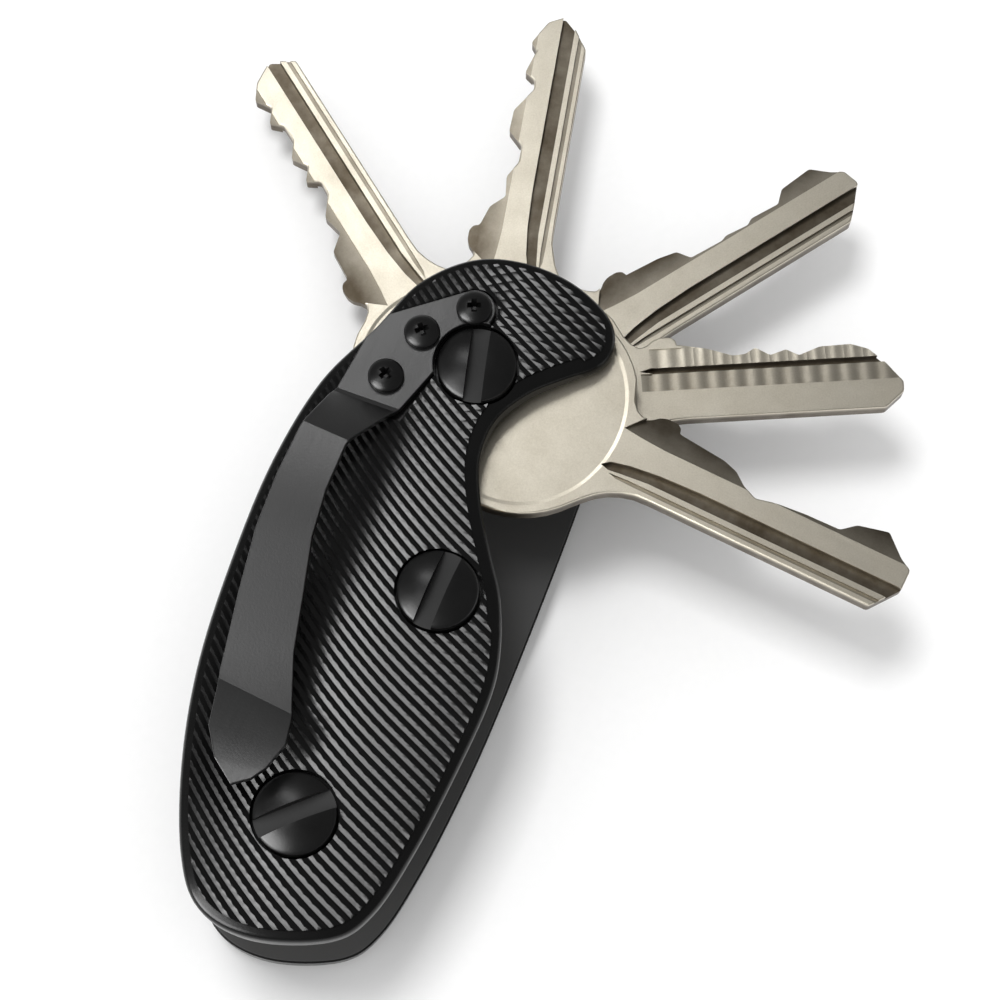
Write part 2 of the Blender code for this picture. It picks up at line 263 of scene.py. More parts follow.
def raw_object(name, bm):
    """An object made of a bmesh in mm, with its faces turned outwards."""
    bmesh.ops.recalc_face_normals(bm, faces=bm.faces)
    bmesh.ops.scale(bm, vec=(MM, MM, MM), verts=bm.verts)
    mesh = bpy.data.meshes.new(name)
    bm.to_mesh(mesh)
    bm.free()
    made = bpy.data.objects.new(name, mesh)
    bpy.context.scene.collection.objects.link(made)
    return made


def settle(piece):
    """Makes a piece's modifiers part of its mesh."""
    bpy.context.view_layer.update()
    graph = bpy.context.evaluated_depsgraph_get()
    piece.data = bpy.data.meshes.new_from_object(piece.evaluated_get(graph))
    piece.modifiers.clear()


def carve(piece, tool, operation="DIFFERENCE"):
    """Cuts a piece with a tool, and takes the tool away."""
    boolean = piece.modifiers.new("carve", "BOOLEAN")
    boolean.operation = operation
    boolean.solver = "EXACT"
    boolean.object = tool
    settle(piece)
    bpy.data.objects.remove(tool, do_unlink=True)


def mount(piece, body, replaced, finish, sharp=30.0):
    """Shades a piece, gives it its finish, and puts it in place of its plain solids.

    Edges that turn by more than `sharp` degrees stay crisp.
    """
    piece.data.shade_smooth()
    piece.data.set_sharp_from_angle(angle=math.radians(sharp))
    piece.data.materials.clear()
    piece.data.materials.append(finish)
    if body:
        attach(piece, body)
    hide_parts(*replaced)


# The height of the floor of the coin slots, which are sawn in the screws further on.
SLOT_FLOOR = 21.4


def at_height(position, height):
    """1 on a flat face at this height in mm, and 0 elsewhere."""
    z = position.node("SeparateXYZ", {}, {0: position}, 2)
    return z.node("Math", {"operation": "COMPARE"}, {0: z, 1: height * MM, 2: 0.05 * MM})


def black_polish():
    """Black oxide on polished steel, smudged by handling, and left dull where a slot is sawn."""
    made, position = new_finish("polished_black_oxide", Specular_IOR_Level=0.35)
    smudge = noise(position, 420.0, 4.0)
    fleck = noise(position, 5200.0, 2.0)
    sawn = at_height(position, SLOT_FLOOR)
    polished = smudge.blend_of((0.002, 0.002, 0.002), (0.006, 0.006, 0.006))
    drive(made, Base_Color=sawn.blend_of(polished, (0.02, 0.02, 0.02)),
          Roughness=smudge * 0.14 + sawn * 0.25 + 0.24, Normal=bump(fleck, 0.000006))
    return made


HEAD_TOP = 1.6
BORE_RADIUS = 1.7
BORE_FLOOR = 5.5
polished_black = black_polish()
for name, centre in POSTS.items():
    low, high = (corner.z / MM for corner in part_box(f"{name}_post"))
    profile = [(0.0, low), (HEAD_RADIUS, low), (HEAD_RADIUS, HEAD_TOP), (BARREL_RADIUS, HEAD_TOP),
               (BARREL_RADIUS, high), (BORE_RADIUS, high), (BORE_RADIUS, BORE_FLOOR),
               (0.0, BORE_FLOOR)]
    post = raw_object(f"{name}_barrel_nut", spun(rounded(profile, 0.3), centre))
    mount(post, "case", [f"{name}_post"], polished_black)

# ---- Back plate --------------------------------------------------------------------------
# A crowned slab of black anodised aluminium. A criss-cross of V grooves is milled over its
# outer face inside a smooth sunk border, and the barrel nuts' heads sit in its counterbores.

OUTER_SIDE = (
    (11.4, 11.0), (6.5, 13.2), (0.5, 13.5), (-5.0, 11.8), (-9.6, 7.3), (-12.2, 0.8),
    (-15.6, -7.0), (-17.1, -17.0), (-17.0, -28.0), (-15.9, -40.0), (-13.4, -50.4),
    (-9.6, -59.6), (-5.6, -64.3), (0.5, -65.2), (7.8, -62.6), (10.9, -58.6), (12.6, -51.0),
    (13.7, -41.0),
)
PLAIN_SIDE = ((14.2, -32.0), (14.4, -20.0), (14.4, -8.0), (14.1, 2.0), (13.4, 7.6))
PLATE_THICKNESS = 3.6
CROWN_RADIUS = 70.0
CROWN_LINE_X = -1.9
GROOVE_PITCH = 1.17
GROOVE_DEPTH = 0.28
# How far the ridges lean away from the nose.
RIDGE_LEAN = 0.16
# How deep the second set cuts into the ridges: far from the nose, and from the pivot onwards.
SADDLE_DEPTHS = (0.08, 0.16)
SADDLE_FADE = 18.0
# The slope of the grooves on the right, and its growth with each millimetre to the left.
RIGHT_SLOPE = 0.44
SLOPE_GROWTH = 0.0232
STEADY_FROM_X = 7.0
# The block that the grooves are cut in, before it takes the outline of a plate.
FIELD_LEFT, FIELD_RIGHT = -20.0, 17.0
FIELD_TAIL, FIELD_NOSE = -68.0, 16.0
FIELD_BOTTOM = -2.0
# The border from the edge inwards: distance in, and depth below the crown.
BORDER = (
    (0.0, 1.2), (0.09, 0.95), (0.22, 0.76), (0.4, 0.64), (0.6, 0.57), (1.05, 0.44), (1.12, -0.1)
)
FOOT_CHAMFER = 0.25
TOOL_TOP = 12.0


def crown_height(x):
    """The height of a plate's outer face above its inner one, at a distance across it."""
    return PLATE_THICKNESS - (x - CROWN_LINE_X) ** 2 / (2 * CROWN_RADIUS)


def smooth_loop(points, steps=8):
    """A closed curve through the points."""
    corners = [Vector(point) for point in points]
    count = len(corners)
    loop = []
    for i in range(count):
        a, b, c, d = (corners[(i + k) % count] for k in (-1, 0, 1, 2))
        for step in range(steps):
            t = step / steps
            loop.append(
                0.5 * (2 * b + (c - a) * t + (2 * a - 5 * b + 4 * c - d) * t**2
                       + (3 * b - a - 3 * c + d) * t**3)
            )
    return loop


def extrude_rim(bm, rim, rise):
    """Extrudes a closed rim of edges straight up, and gives the new rim."""
    raised = bmesh.ops.extrude_edge_only(bm, edges=rim)["geom"]
    verts = [item for item in raised if isinstance(item, bmesh.types.BMVert)]
    bmesh.ops.translate(bm, vec=(0.0, 0.0, rise), verts=verts)
    return [item for item in raised if isinstance(item, bmesh.types.BMEdge)]


def bordered_blank(outline, widths):
    """A plate's outline as a tall block whose wall turns in at the top to cut the border.

    `widths` scales the border's width at each point of the outline.
    """
    bm = bmesh.new()
    rim = list(bm.faces.new([bm.verts.new((*point, 0.0)) for point in outline]).edges)
    for _ in range(len(BORDER) + 2):
        rim = extrude_rim(bm, rim, 1.0)
    bmesh.ops.contextual_create(bm, geom=rim)
    place_of = {point.to_tuple(3): i for i, point in enumerate(outline)}
    for vert in bm.verts:
        i = place_of[vert.co.to_2d().to_tuple(3)]
        before, after = outline[i - 1], outline[(i + 1) % len(outline)]
        inwards = Vector((before.y - after.y, after.x - before.x)).normalized()
        level = round(vert.co.z)
        if level < 2:
            vert.co = (*(outline[i] + inwards * FOOT_CHAMFER * (1 - level)), FOOT_CHAMFER * level)
            continue
        inset, depth = BORDER[min(level - 2, len(BORDER) - 1)]
        at = outline[i] + inwards * inset * widths[i]
        vert.co = (*at, crown_height(at.x) - depth if level < len(BORDER) + 2 else TOOL_TOP)
    return bm


def groove_slope(x):
    """How steeply the grooves run, at a distance across the plate."""
    return RIGHT_SLOPE + SLOPE_GROWTH * max(0.0, STEADY_FROM_X - x)


def grooved_block():
    """A block under a field of points, as two mirrored sets of V grooves leave it.

    The grooves are stepped along Y and get steeper to the left, so the points stand in columns
    that close up that way. The second set is shallower, most of all away from the nose, so the
    ridges of the first run on, and they lean away from the nose.
    """
    columns = [FIELD_RIGHT]
    while columns[-1] > FIELD_LEFT:
        columns.append(columns[-1] - GROOVE_PITCH / (2 * groove_slope(columns[-1])))
    across = len(columns) - 1
    along = round((FIELD_NOSE - FIELD_TAIL) / (GROOVE_PITCH / 2))
    bm = bmesh.new()
    bmesh.ops.create_grid(bm, x_segments=across, y_segments=along, size=1.0)
    crossings = set()
    for vert in bm.verts:
        column = round((vert.co.x + 1) / 2 * across)
        row = round((vert.co.y + 1) / 2 * along)
        x, y = columns[column], FIELD_TAIL + row * GROOVE_PITCH / 2
        if (column + row) % 2 == 0:
            vert.co = (x, y, crown_height(x) - GROOVE_DEPTH)
            crossings.add(vert)
        else:
            vert.co = (x, y - RIDGE_LEAN, crown_height(x))
    shallow = []
    for face in bm.faces[:]:
        one, other = (vert for vert in face.verts if vert in crossings)
        if (one.co.x - other.co.x) * (one.co.y - other.co.y) > 0:
            shallow.append(face)
        else:
            bmesh.utils.face_split(face, one, other)
    for saddle in bmesh.ops.poke(bm, faces=shallow)["verts"]:
        at_nose = min(1.0, max(0.0, (saddle.co.y + SADDLE_FADE) / SADDLE_FADE))
        depth = SADDLE_DEPTHS[0] + (SADDLE_DEPTHS[1] - SADDLE_DEPTHS[0]) * at_nose
        depth *= (RIGHT_SLOPE / groove_slope(saddle.co.x)) ** 2
        saddle.co.z = crown_height(saddle.co.x) - depth
    edge = [item for item in bm.edges if item.is_boundary]
    raised = bmesh.ops.extrude_edge_only(bm, edges=edge)["geom"]
    for item in raised:
        if isinstance(item, bmesh.types.BMVert):
            item.co.z = FIELD_BOTTOM
    bmesh.ops.contextual_create(
        bm, geom=[item for item in raised if isinstance(item, bmesh.types.BMEdge)]
    )
    return bm


def drill(piece, centre, bore_floor):
    """Drills a hole for a post through a plate, with a wider bore above it for a head."""
    bore_radius = HEAD_RADIUS + CLEARANCE
    low, high = -3.0, TOOL_TOP + 1
    profile = [(0.0, low), (POST_HOLE_RADIUS, low), (POST_HOLE_RADIUS, bore_floor),
               (bore_radius, bore_floor), (bore_radius, high), (0.0, high)]
    carve(piece, raw_object("drill", spun(profile, centre)))


def anodised_black(name, inner_height):
    """Black anodising on milled aluminium, glossier outside than on the blasted inner face, whose
    lighter grey is partly its finish and partly painted light.
    """
    made, position = new_finish(name, Specular_IOR_Level=0.25)
    grain = noise(position, 3800.0, 2.0)
    cloud = noise(position, 150.0, 4.0)
    blasted_with_painted_light = at_height(position, inner_height)
    outside = cloud.blend_of((0.002, 0.002, 0.002), (0.005, 0.005, 0.005))
    # The inner face is painted a lighter grey: partly its matte blasted finish, partly painted
    # light standing in for the light that reaches it between the plates.
    drive(made, Base_Color=blasted_with_painted_light.blend_of(outside, (0.06, 0.06, 0.06)),
          Roughness=cloud * 0.12 + blasted_with_painted_light * 0.35 + 0.2, Normal=bump(grain, 0.000004))
    return made


outline = smooth_loop(OUTER_SIDE + PLAIN_SIDE)
blank = raw_object("back_plate_blank", bordered_blank(outline, [1.0] * len(outline)))
BACK_BORE_FLOOR = 2.1
for centre in POSTS.values():
    drill(blank, centre, BACK_BORE_FLOOR)
back = raw_object("back_plate_grooved", grooved_block())
carve(back, blank, "INTERSECT")
back_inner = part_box("back_plate")[1].z
back.data.transform(Matrix.Translation((0.0, 0.0, back_inner)) @ Matrix.Scale(-1, 4, (0, 0, 1)))
back.data.flip_normals()
mount(back, "case", ["back_plate"], anodised_black("back_anodising", back_inner / MM),
      12.0)

# ---- Spacer sleeves ----------------------------------------------------------------------
# Two short brass tubes, turned and parted off, that slide over the middle and end posts and
# hold the plates apart, so that the pivot can be tightened without clamping the whole stack.

SLEEVE_RADIUS = 3.0


def turned_metal(name, light, dark, base_roughness):
    """Bare turned metal with fine tool rings up its length."""
    made, position = new_finish(name, Metallic=1.0)
    height = position.node("SeparateXYZ", {}, {0: position}, 2)
    rings = noise(position.node("CombineXYZ", {}, {2: height}), 9000.0, 2.0)
    stain = noise(position, 300.0, 4.0)
    drive(made, Base_Color=stain.blend_of(light, dark),
          Roughness=stain * 0.2 + base_roughness, Normal=bump(rings, 0.00001))
    return made


def ring(radius, low, high, edge_radius):
    """The profile of a tube or washer that fits over a post, with its corners rounded."""
    corners = [(POST_HOLE_RADIUS, low), (radius, low), (radius, high), (POST_HOLE_RADIUS, high)]
    return rounded(corners, edge_radius)


brass = turned_metal("turned_brass", (0.66, 0.5, 0.24), (0.42, 0.3, 0.12), 0.25)
for name in ("middle", "end"):
    low, high = (corner.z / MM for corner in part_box(f"{name}_sleeve"))
    sleeve = raw_object(f"{name}_spacer", spun(ring(SLEEVE_RADIUS, low, high, 0.12), POSTS[name]))
    mount(sleeve, "case", [f"{name}_sleeve"], brass)

# ---- Keys --------------------------------------------------------------------------------
# Five cut keys for cylinder locks. Each is stamped from nickel silver sheet with an oval bow,
# then grooves are milled along both faces of the blade and the cuts are ground in one edge.

KEY_THICKNESS = 2.0
BOW_CENTRE_X = 6.4
BOW_HALF_LENGTH = 11.8
BOW_END_X = 15.6
BACK_Y = -4.2
BLADE_END = 57.0
NECK_CUT_SIDE = ((16.6, 5.5), (17.4, 4.6), (18.3, 4.2), (19.1, 4.6))
NIB = ((19.8, 5.3), (20.6, 5.6), (21.8, 5.6), (22.4, 5.2), (22.5, 4.6))
NECK_BACK = ((23.0, BACK_Y), (21.2, -4.3), (19.8, -4.7), (18.5, -5.3), (17.4, -6.1), (16.5, -7.0))
# The keys from the back plate up: direction in degrees, half width of the bow, sideways
# offset of the blade, and the cuts from the nib to the tip.
KEYS = (
    (141.2, 11.3, 0.0,
     ((22.8, 4.4), (26.4, 4.2), (28.0, 2.3), (30.6, 2.9), (33.0, 1.2), (34.8, 1.1), (35.8, 2.6),
      (37.4, 1.4), (39.3, 2.6), (41.2, 1.3), (43.5, 1.3), (44.7, 2.6), (46.4, 1.4), (48.3, 2.6),
      (50.2, 1.3), (52.0, -1.4), (50.4, BACK_Y))),
    (100.9, 11.3, -0.8,
     ((22.8, 4.4), (25.0, 3.7), (26.4, 2.1), (29.0, 2.4), (30.9, 1.3), (33.1, 1.3), (35.0, 3.1),
      (37.8, 3.0), (40.6, 1.1), (41.9, 1.2), (42.9, 2.5), (45.9, 1.6), (47.0, 2.4), (49.9, 0.8),
      (50.9, -1.1), (49.4, -2.6), (46.9, BACK_Y))),
    (53.6, 11.3, -1.1,
     ((22.8, 4.6), (26.7, 4.3), (28.9, 3.8), (29.8, 2.2), (34.0, 2.0), (34.7, 2.3), (37.6, 2.0),
      (38.4, 2.5), (42.1, 2.3), (43.6, 3.7), (47.8, 4.1), (49.5, 2.3), (50.8, 1.4), (51.3, -0.6),
      (49.6, -2.4), (47.7, BACK_Y))),
    (24.0, 11.8, -0.8,
     ((22.8, 4.6), (25.8, 4.0), (28.6, 3.0), (30.0, 3.1), (31.2, 3.8), (32.8, 2.8), (34.6, 3.4),
      (36.0, 2.6), (38.4, 3.5), (41.9, 3.6), (43.8, 2.9), (45.6, 1.1), (47.3, -1.2), (47.2, -2.4),
      (45.0, BACK_Y))),
    (-6.4, 12.8, 0.0,
     ((22.8, 4.5), (28.2, 3.9), (29.9, 3.3), (31.3, 2.1), (33.0, 1.3), (35.5, 1.9), (38.7, 2.2),
      (42.6, 2.3), (44.1, 3.7), (47.5, 4.6), (49.8, 2.3), (51.2, 1.4), (51.2, -0.9),
      (48.8, BACK_Y))),
)


def key_outline(bow_half_width, offset, cuts):
    """The outline of a key along +X: an oval bow, a neck, a stop nib, the cuts and the tip."""
    steps = 40
    edge = math.acos((BOW_END_X - BOW_CENTRE_X) / BOW_HALF_LENGTH)
    outline = []
    for i in range(steps + 1):
        a = math.tau - edge - 2 * (math.pi - edge) * i / steps
        outline.append((BOW_CENTRE_X + BOW_HALF_LENGTH * math.cos(a), bow_half_width * math.sin(a)))
    for x, y in [*NECK_CUT_SIDE, *NIB, *cuts, *NECK_BACK]:
        outline.append((x, y + offset * min(1.0, (x - BOW_END_X) / 4.0)))
    return rounded(outline, 0.25, 2)


def drawn_out(bm, faces, travel):
    """Extrudes faces along a vector to a closed block."""
    raised = bmesh.ops.extrude_face_region(bm, geom=faces)["geom"]
    verts = [item for item in raised if isinstance(item, bmesh.types.BMVert)]
    bmesh.ops.translate(bm, vec=travel, verts=verts)


def block(points, travel):
    """A flat face through the points, drawn out along a vector."""
    bm = bmesh.new()
    drawn_out(bm, [bm.faces.new([bm.verts.new(point) for point in points])], travel)
    return bm


def rimmed_slab(outline, thickness, edge_radius):
    """An outline as a slab from z = 0, with its two rims rounded."""
    bm = block([(x, y, 0.0) for x, y in outline], (0.0, 0.0, thickness))
    bmesh.ops.recalc_face_normals(bm, faces=bm.faces)
    rims = [edge for edge in bm.edges if edge.verts[0].co.z == edge.verts[1].co.z]
    bmesh.ops.bevel(bm, geom=rims, offset=edge_radius, segments=2, affect="EDGES",
                    profile=0.5, material=-1, clamp_overlap=True)
    return bm


def milled(plan, depth, wall, fall=0.0, below=False):
    """The space that a cutter clears from a key's face: sloped walls down to a floor.

    `fall` lets the floor drop towards the cut edge. `below` cuts from the underside.
    """
    bm = bmesh.new()
    floor = bm.faces.new([bm.verts.new((x, y, 0.0)) for x, y in plan])
    bmesh.ops.inset_region(bm, faces=[floor], thickness=wall, use_even_offset=True)
    inner_y = min(y for x, y in plan)
    for vert in floor.verts:
        vert.co.z = -depth - fall * (vert.co.y - inner_y)
    rim = extrude_rim(bm, [edge for edge in bm.edges if edge.is_boundary], 1.0)
    bmesh.ops.contextual_create(bm, geom=rim)
    bmesh.ops.translate(bm, vec=(0.0, 0.0, KEY_THICKNESS), verts=bm.verts)
    if below:
        bmesh.ops.scale(bm, vec=(1.0, 1.0, -1.0), verts=bm.verts)
        bmesh.ops.translate(bm, vec=(0.0, 0.0, KEY_THICKNESS), verts=bm.verts)
    return bm


def pecked(start, low_y, high_y, shallow, deep):
    """The space that a ball cutter clears as it pecks along a blade: a row of scallops."""
    pitch, steps = 2.1, 8
    points = [(start, KEY_THICKNESS + 1)]
    for i in range(steps * round((BLADE_END - start) / pitch) + 1):
        swell = 0.5 - 0.5 * math.cos(math.tau * i / steps)
        points.append((start + i * pitch / steps, KEY_THICKNESS - shallow - deep * swell))
    points.append((points[-1][0], KEY_THICKNESS + 1))
    return block([(x, low_y, z) for x, z in points], (0.0, high_y - low_y, 0.0))


def punch(radius, low, high, centre=(0.0, 0.0), steps=64):
    """A round tool that makes a hole between two heights."""
    profile = [(0.0, low), (radius, low), (radius, high), (0.0, high)]
    return raw_object("punch", spun(profile, centre, steps))


def oval_recess(half_width, below):
    """The shallow oval that the coining die leaves in each face of the bow."""
    length, width, depth, wall = BOW_HALF_LENGTH - 1.2, half_width - 0.8, 0.08, 0.4
    level = 0.0 if below else KEY_THICKNESS
    inwards = 1.0 if below else -1.0
    profile = [(0.0, level - inwards), (length, level - inwards), (length, level),
               (length - wall, level + depth * inwards), (0.0, level + depth * inwards)]
    bm = spun(profile, steps=96)
    bmesh.ops.scale(bm, vec=(1.0, width / length, 1.0), verts=bm.verts)
    bmesh.ops.translate(bm, vec=(BOW_CENTRE_X, 0.0, 0.0), verts=bm.verts)
    return bm


# The milling of a plain key, seen from above along +X, with the blade's middle on y = 0.
LEDGE = ((16.9, 2.2), (17.9, 3.5), (18.8, 4.6), (19.4, 9.0), (BLADE_END, 9.0), (BLADE_END, 1.7),
         (22.0, 1.75), (19.0, 1.95))
WIDE_GROOVE = ((16.4, -2.7), (17.3, -2.0), (19.4, -1.5), (22.8, -1.1), (27.5, -0.9),
               (BLADE_END, -0.85), (BLADE_END, -2.5), (22.0, -2.5), (19.0, -2.8), (17.4, -3.0))
NARROW_GROOVE = ((17.6, -3.25), (20.0, -3.1), (BLADE_END, -3.1), (BLADE_END, -3.6), (21.0, -3.6),
                 (18.6, -3.55))
UNDERSIDE_GROOVE = ((17.2, 0.3), (19.4, 1.2), (24.0, 1.5), (BLADE_END, 1.5), (BLADE_END, -0.3),
                    (24.0, -0.3), (19.4, -0.2))
DEEP_GROOVE = ((18.0, 1.6), (19.5, 2.0), (BLADE_END, 2.0), (BLADE_END, 1.3), (19.5, 1.3))
PECKED_KEY = 4
EDGE_RADIUS = 0.16
LIGHT_METAL = (0.76, 0.71, 0.6)
DARK_METAL = (0.6, 0.55, 0.45)
# The colour of faces cut below the top: partly grime, partly painted shade in the grooves.
GRIME_AND_SHADE = (0.09, 0.072, 0.05)


def nickel_silver(number, direction, base_z):
    """Nickel silver: satin, finely pitted, with scratches along it, and darker where it is cut:
    partly grime, partly painted shade in the hollows.
    """
    made, position = new_finish(f"nickel_silver_{number}", Metallic=1.0)
    turned = position.node("Mapping", {"vector_type": "TEXTURE"},
                           {"Vector": position, "Rotation": (0.0, 0.0, math.radians(direction))})
    stretched = turned.node("Mapping", {}, {"Vector": turned, "Scale": (160.0, 3200.0, 900.0)})
    scratches = noise(stretched, 1.0, 4.0, 0.6)
    handled = noise(turned, 240.0, 5.0, 0.6)
    pitted = noise(turned, 5200.0, 3.0, 0.7)
    height = turned.node("SeparateXYZ", {}, {0: turned}, 2)
    level = (height - base_z * MM) * (1 / (KEY_THICKNESS * MM))
    # Faces cut below the top are darkened: painted shade in the grooves and ledges, with some
    # grime.
    sunk = level.ramp((0.6, 1.0), (0.88, 0.6), (0.95, 0.0))
    worn = (handled * 0.5 + pitted * 0.5).ramp((0.32, 0.0), (0.68, 1.0))
    shade = worn.blend_of(LIGHT_METAL, DARK_METAL)
    grime_and_painted_shade = (sunk * (handled * 0.5 + 0.7)).blend_of(shade, GRIME_AND_SHADE)
    drive(made, Base_Color=grime_and_painted_shade,
          Roughness=scratches * 0.12 + handled * 0.1 + pitted * 0.08 + 0.22,
          Normal=bump(scratches * 0.5 + pitted, 0.000008))
    return made


for number, (direction, bow_half_width, offset, cuts) in enumerate(KEYS, 1):
    node = f"key_{number}"
    base_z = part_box(node)[0].z / MM
    outline = key_outline(bow_half_width, offset, cuts)
    key = raw_object(f"{node}_blank", rimmed_slab(outline, KEY_THICKNESS, EDGE_RADIUS))
    if number == PECKED_KEY:
        tools = [pecked(18.2, -0.8, 1.3, 0.18, 0.05), milled(DEEP_GROOVE, 0.8, 0.1),
                 pecked(19.3, 2.0, 4.2, 0.1, 0.05), pecked(22.9, 2.0, 9.0, 0.1, 0.05),
                 milled(UNDERSIDE_GROOVE, 0.5, 0.15, below=True)]
    else:
        tools = [milled(LEDGE, 0.25, 0.12, fall=0.2), milled(WIDE_GROOVE, 0.75, 0.18),
                 milled(NARROW_GROOVE, 0.35, 0.1),
                 milled(UNDERSIDE_GROOVE, 0.6, 0.15, below=True)]
    for tool in tools:
        bmesh.ops.translate(tool, vec=(0.0, offset, 0.0), verts=tool.verts)
    for tool in [*tools, oval_recess(bow_half_width, False), oval_recess(bow_half_width, True)]:
        carve(key, raw_object("cutter", tool))
    carve(key, punch(POST_HOLE_RADIUS, -1.0, KEY_THICKNESS + 1))
    key.data.transform(Matrix.Translation((0.0, 0.0, base_z * MM))
                       @ Matrix.Rotation(math.radians(direction), 4, "Z"))
    mount(key, node, [node], nickel_silver(number, direction, base_z), 9.0)

# ---- Pivot washers -----------------------------------------------------------------------
# Six thin punched steel washers on the pivot post, one on each side of every key, which let
# one key turn without dragging the next.

WASHER_RADIUS = 5.0
bare_steel = turned_metal("bare_steel", (0.58, 0.58, 0.57), (0.4, 0.4, 0.4), 0.25)
for number in range(1, len(KEYS) + 2):
    low, high = (corner.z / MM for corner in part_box(f"washer_{number}"))
    washer = raw_object(f"pivot_washer_{number}", spun(ring(WASHER_RADIUS, low, high, 0.08)))
    mount(washer, "case", [f"washer_{number}"], bare_steel)

# ---- Front plate -------------------------------------------------------------------------
# The same grooved black plate as the back one, with a deep notch in one side so that a thumb
# can reach the bows, and a flat seat milled into its crown for the clip's foot.

NOTCH_SIDE = (
    (14.1, -33.5), (13.4, -28.6), (11.4, -23.2), (8.7, -19.0), (5.8, -14.2), (3.9, -9.4),
    (4.0, -4.8), (6.2, -0.7), (9.4, 2.6), (12.2, 5.2), (13.0, 8.0),
)
# The stretch of the notch where the border is wider.
NOTCH_LEFT, NOTCH_RIGHT = 3.0, 12.6
NOTCH_TAIL, NOTCH_NOSE = -27.0, 4.0
NOTCH_WIDENING = 1.4
FRONT_BORE_FLOOR = 1.7
SEAT_FLOOR = 2.8
SEAT_TAIL = 1.0
FOOT_CORNERS = ((-5.8, -7.7), (-13.1, -7.7), (-12.3, -1.4), (-10.9, 2.1))
FOOT_END_RADIUS = 2.3
SCALLOP_RADIUS = 4.75
PILOT_FLOOR = 0.7
CLIP_HOLE_RADIUS = 1.15
CLIP_SCREWS = [((low + high) / 2 / MM).to_2d()
               for low, high in (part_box(f"clip_screw_{number}") for number in (1, 2, 3))]


def arc(centre, radius, start, end, steps):
    """Points on an arc, from one direction to another in degrees."""
    angles = [math.radians(start + (end - start) * i / steps) for i in range(steps + 1)]
    return [Vector((centre[0] + radius * math.cos(a), centre[1] + radius * math.sin(a)))
            for a in angles]


def foot_outline(grown=0.0, tail=0.0):
    """The clip's foot: straight sides, a round end on the first screw, and a scallop."""
    right, left, side, shoulder = (Vector(corner) for corner in FOOT_CORNERS)
    start = [right + Vector((grown, -grown - tail)), left - Vector((grown, grown + tail)),
             side + Vector((-grown, 0)), shoulder + Vector((-grown, grown)) * 0.7]
    end = arc(CLIP_SCREWS[0], FOOT_END_RADIUS + grown, 118, -22, 16)
    return start + end + arc((0, 0), SCALLOP_RADIUS - grown, 92, 212, 24)


front_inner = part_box("front_plate")[0].z / MM
outline = smooth_loop(OUTER_SIDE + NOTCH_SIDE)
widths = [
    NOTCH_WIDENING
    if NOTCH_LEFT < point.x < NOTCH_RIGHT and NOTCH_TAIL < point.y < NOTCH_NOSE
    else 1.0
    for point in outline
]
blank = raw_object("front_plate_blank", bordered_blank(outline, widths))
for centre in POSTS.values():
    drill(blank, centre, FRONT_BORE_FLOOR)
seat = block([(*point, SEAT_FLOOR) for point in foot_outline(CLEARANCE, SEAT_TAIL)],
             (0.0, 0.0, TOOL_TOP + 1 - SEAT_FLOOR))
carve(blank, raw_object("seat_cutter", seat))
for centre in CLIP_SCREWS:
    carve(blank, punch(CLIP_HOLE_RADIUS, PILOT_FLOOR, TOOL_TOP + 1, centre, 24))
front = raw_object("front_plate_grooved", grooved_block())
carve(front, blank, "INTERSECT")
front.data.transform(Matrix.Translation((0.0, 0.0, front_inner * MM)))
mount(front, "case", ["front_plate"], anodised_black("front_anodising", front_inner),
      25.0)

# ---- Post screws -------------------------------------------------------------------------
# Three steel screws that thread into the barrel nuts from the front. Each has a wide domed
# head, polished before it is blackened, with a slot sawn right across it for a coin.

SEAT_HEIGHT = 20.2
RIM_HEIGHT = 21.9
SHANK_RADIUS = 1.4
SLOT_WIDTH = 2.0
SLOT_DIRECTION = {"pivot": 103.0, "middle": 87.5, "end": 42.5}


def domed(radius, rim, top, steps):
    """The profile of a domed head, from its rim to its centre."""
    height = top - rim
    ball = (radius**2 + height**2) / (2 * height)
    across = [radius * (1 - i / steps) for i in range(steps + 1)]
    return [(r, top - ball + math.sqrt(ball**2 - r**2)) for r in across]


for name, centre in POSTS.items():
    low, high = (corner.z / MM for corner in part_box(f"{name}_screw"))
    profile = [(0.0, low), (SHANK_RADIUS - 0.2, low), (SHANK_RADIUS, low + 0.2),
               (SHANK_RADIUS, SEAT_HEIGHT), (HEAD_RADIUS - 0.1, SEAT_HEIGHT),
               (HEAD_RADIUS, SEAT_HEIGHT + 0.1), (HEAD_RADIUS, RIM_HEIGHT - 0.25),
               (HEAD_RADIUS - 0.04, RIM_HEIGHT - 0.12)]
    profile += domed(HEAD_RADIUS - 0.12, RIM_HEIGHT, high, 14)
    screw = raw_object(f"{name}_coin_screw", spun(profile, centre, 96))
    saw = bmesh.new()
    bmesh.ops.create_cube(saw, size=1.0)
    bmesh.ops.scale(saw, vec=(4 * HEAD_RADIUS, SLOT_WIDTH, 4.0), verts=saw.verts)
    bmesh.ops.rotate(saw, matrix=Matrix.Rotation(math.radians(SLOT_DIRECTION[name]), 3, "Z"),
                     verts=saw.verts)
    bmesh.ops.translate(saw, vec=(*centre, SLOT_FLOOR + 2.0), verts=saw.verts)
    carve(screw, raw_object("saw", saw))
    mount(screw, "case", [f"{name}_screw"], polished_black)

# ---- Pocket clip -------------------------------------------------------------------------
# One strip of spring steel, blanked, bent up over the crown, back down, and up again near the
# tip, then blackened. Its foot lies in the milled seat, and the arm springs from there.

SHEET_THICKNESS = 0.9
FOOT_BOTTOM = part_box("clip_foot")[0].z / MM
CLIP_EDGE_RADIUS = 0.12
